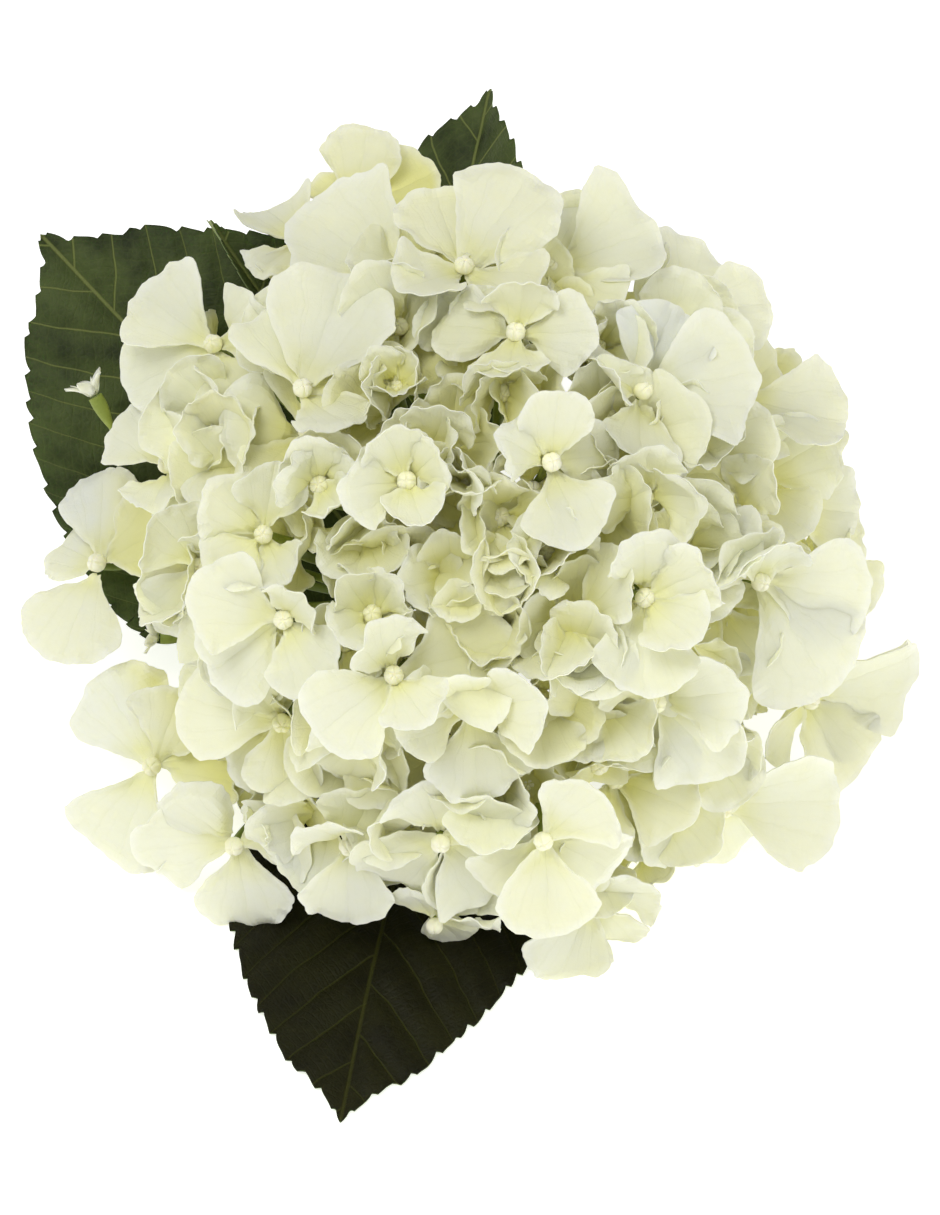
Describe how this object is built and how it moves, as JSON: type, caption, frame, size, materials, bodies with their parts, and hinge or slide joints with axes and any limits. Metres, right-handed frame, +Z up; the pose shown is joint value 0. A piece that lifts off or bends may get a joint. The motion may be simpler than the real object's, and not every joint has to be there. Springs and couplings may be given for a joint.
{
  "type": "cut hydrangea",
  "caption": "Cut mophead hydrangea lying on a surface: dense dome of cream four-petalled florets with serrated green leaves and a trailing woody stem.",
  "frame": {"origin": "on the surface that the flower lies on, under the middle of its bounding box", "axes": "+Z up from the surface; -Y is the way the flower head faces, 50 degrees up from the surface; the stem trails towards +Y; +X is to the right of someone facing the flower"},
  "size_m": [0.2298, 0.3042, 0.1665],
  "materials": {
    "petal": "matt, slightly waxy ivory, yellow-green towards the bud",
    "leaf": "satin green with paler veins",
    "dark_leaf": "satin dark olive with paler veins",
    "green_stalk": "smooth yellow-green",
    "unopened_bud": "smooth pale green",
    "bark": "matt grey-brown bark with pale lenticels"
  },
  "bodies": {
    "root": {"stem": "bark", "flower_stalk": "green_stalk", "leaf_front": "dark_leaf", "leaf_left": "leaf", "leaf_young": "leaf", "leaf_back": "leaf", "unopened_upper": "unopened_bud", "unopened_lower": "unopened_bud", "floret_01": "petal", "floret_02": "petal", "floret_03": "petal", "floret_04": "petal", "floret_05": "petal", "floret_06": "petal", "floret_07": "petal", "floret_08": "petal", "floret_09": "petal", "floret_10": "petal", "floret_11": "petal", "floret_12": "petal", "floret_13": "petal", "floret_14": "petal", "floret_15": "petal", "floret_16": "petal", "floret_17": "petal", "floret_18": "petal", "floret_19": "petal", "floret_20": "petal", "floret_21": "petal", "floret_22": "petal", "floret_23": "petal", "floret_24": "petal", "floret_25": "petal", "floret_26": "petal", "floret_27": "petal", "floret_28": "petal", "floret_29": "petal", "floret_30": "petal", "floret_31": "petal", "floret_32": "petal", "floret_33": "petal", "floret_34": "petal", "floret_35": "petal", "floret_36": "petal", "floret_37": "petal", "floret_38": "petal", "floret_39": "petal", "floret_40": "petal", "floret_41": "petal", "floret_42": "petal", "floret_43": "petal", "floret_44": "petal", "floret_45": "petal", "floret_46": "petal", "floret_47": "petal", "floret_48": "petal", "floret_49": "petal", "floret_50": "petal", "floret_51": "petal", "floret_52": "petal"}
  },
  "joints": []
}
